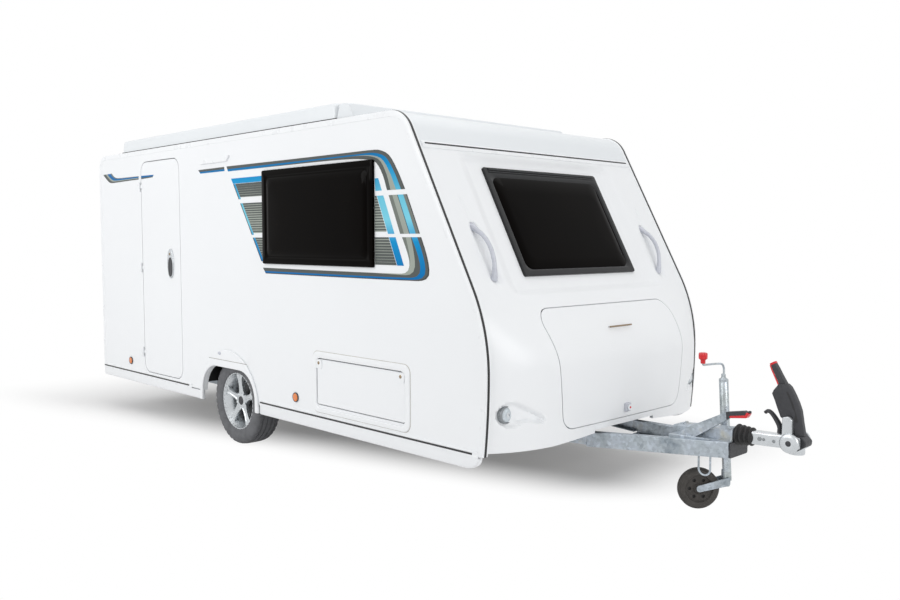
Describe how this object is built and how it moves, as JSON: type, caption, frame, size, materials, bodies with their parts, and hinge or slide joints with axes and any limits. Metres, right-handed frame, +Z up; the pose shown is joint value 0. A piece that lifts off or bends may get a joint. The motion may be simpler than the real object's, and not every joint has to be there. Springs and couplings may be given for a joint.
{
  "type": "travel caravan",
  "caption": "Single-axle touring caravan with a lifting roof, raked moulded front, side door, gas locker lid, A-frame drawbar with coupling and swivelling jockey wheel.",
  "frame": {"origin": "on the ground under the middle of the caravan's length and width", "axes": "+X forward to the towing hitch, +Y to the left, +Z up"},
  "size_m": [5.652, 1.969, 2.194],
  "materials": {
    "body_white": "gloss white glass-fibre and coated sheet",
    "floor_board": "coated plywood floor",
    "canvas": "coated roof canvas",
    "black_rubber": "matt rubber",
    "dark_glazing": "dark tinted acrylic",
    "black_plastic": "grained plastic",
    "bright_metal": "satin",
    "grey_plastic": "gloss",
    "clear_lens": "moulded lens",
    "red_lens": "moulded lens",
    "amber_lens": "moulded lens",
    "galvanised": "spangled zinc",
    "red_plastic": "gloss",
    "tyre_rubber": "matt"
  },
  "bodies": {
    "caravan": {"floor_panel": "floor_board", "side_wall_right": "body_white", "side_wall_left": "body_white", "front_panel": "body_white", "rear_panel": "body_white", "roof_panel": "body_white", "roof_deflector": "body_white", "roof_seal": "black_rubber", "roof_canvas": "canvas", "side_window_right": "dark_glazing", "side_window_left": "dark_glazing", "front_window": "dark_glazing", "rear_window": "dark_glazing", "door_hinges": "bright_metal", "flap_frame": "body_white", "grab_handles": "grey_plastic", "front_lamps": "clear_lens", "rear_lamps": "red_lens", "side_markers": "amber_lens", "awning_lamp": "grey_plastic", "skirt_right": "body_white", "skirt_left": "body_white", "wheel_arch_right": "body_white", "wheel_arch_left": "body_white", "wheel_box_right": "black_plastic", "wheel_box_left": "black_plastic", "chassis_rails": "galvanised", "cross_members": "galvanised", "drawbar": "galvanised", "axle": "galvanised", "overrun_housing": "galvanised", "bellows": "black_rubber", "coupling_head": "bright_metal", "stabiliser_lever": "black_plastic", "coupling_handle": "black_plastic", "handbrake_lever": "galvanised", "handbrake_grip": "black_plastic", "cable_guide": "galvanised", "jockey_clamp": "galvanised", "jockey_tube": "galvanised", "jockey_crank": "galvanised", "crank_knob": "red_plastic", "steady_brackets": "galvanised"},
    "door": {"entrance_door": "body_white", "door_handle": "black_plastic"},
    "roof_lid": {"lifting_roof": "body_white"},
    "gas_lid": {"locker_lid": "body_white", "locker_lock": "bright_metal"},
    "flap": {"service_flap": "body_white"},
    "wheel_right": {"tyre_right": "tyre_rubber", "rim_right": "bright_metal"},
    "wheel_left": {"tyre_left": "tyre_rubber", "rim_left": "bright_metal"},
    "castor": {"jockey_fork": "galvanised"},
    "castor_wheel": {"jockey_wheel": "tyre_rubber"},
    "steady_rr": {"steady_rear_right": "galvanised"},
    "steady_rl": {"steady_rear_left": "galvanised"},
    "steady_fr": {"steady_front_right": "galvanised"},
    "steady_fl": {"steady_front_left": "galvanised"}
  },
  "joints": [
    {"name": "wheel_right_spin", "type": "hinge", "parent": "caravan", "child": "wheel_right", "pos_m": [-0.76361, -0.8255, 0.298], "axis": [0, 1, 0], "continuous": true},
    {"name": "wheel_left_spin", "type": "hinge", "parent": "caravan", "child": "wheel_left", "pos_m": [-0.76361, 0.8255, 0.298], "axis": [0, 1, 0], "continuous": true},
    {"name": "door_hinge", "type": "hinge", "parent": "caravan", "child": "door", "pos_m": [-2.04928, -0.977, 1.19], "axis": [0, 0, -1], "range_deg": [0, 150]},
    {"name": "gas_lid_hinge", "type": "hinge", "parent": "caravan", "child": "gas_lid", "pos_m": [1.59411, 0, 1.062], "axis": [0, -1, 0], "range_deg": [0, 75]},
    {"name": "flap_hinge", "type": "hinge", "parent": "caravan", "child": "flap", "pos_m": [0.66, -0.963, 0.44], "axis": [1, 0, 0], "range_deg": [0, 110]},
    {"name": "roof_lift", "type": "slide", "parent": "caravan", "child": "roof_lid", "axis": [0, 0, 1], "range_m": [0, 0.3], "deforming": ["roof_canvas"]},
    {"name": "castor_swivel", "type": "hinge", "parent": "caravan", "child": "castor", "pos_m": [2.311, 0.164, 0.15], "axis": [0, 0, 1], "continuous": true},
    {"name": "castor_spin", "type": "hinge", "parent": "castor", "child": "castor_wheel", "pos_m": [2.21131, 0.06148, 0.108], "axis": [0.7169, -0.6972, 0], "continuous": true},
    {"name": "steady_rr_swing", "type": "hinge", "parent": "caravan", "child": "steady_rr", "pos_m": [-2.684, -0.768, 0.37], "axis": [0, 1, 0], "range_deg": [0, 50]},
    {"name": "steady_rl_swing", "type": "hinge", "parent": "caravan", "child": "steady_rl", "pos_m": [-2.684, 0.768, 0.37], "axis": [0, 1, 0], "range_deg": [0, 50]},
    {"name": "steady_fr_swing", "type": "hinge", "parent": "caravan", "child": "steady_fr", "pos_m": [1.331, -0.768, 0.37], "axis": [0, -1, 0], "range_deg": [0, 50]},
    {"name": "steady_fl_swing", "type": "hinge", "parent": "caravan", "child": "steady_fl", "pos_m": [1.331, 0.768, 0.37], "axis": [0, -1, 0], "range_deg": [0, 50]}
  ]
}
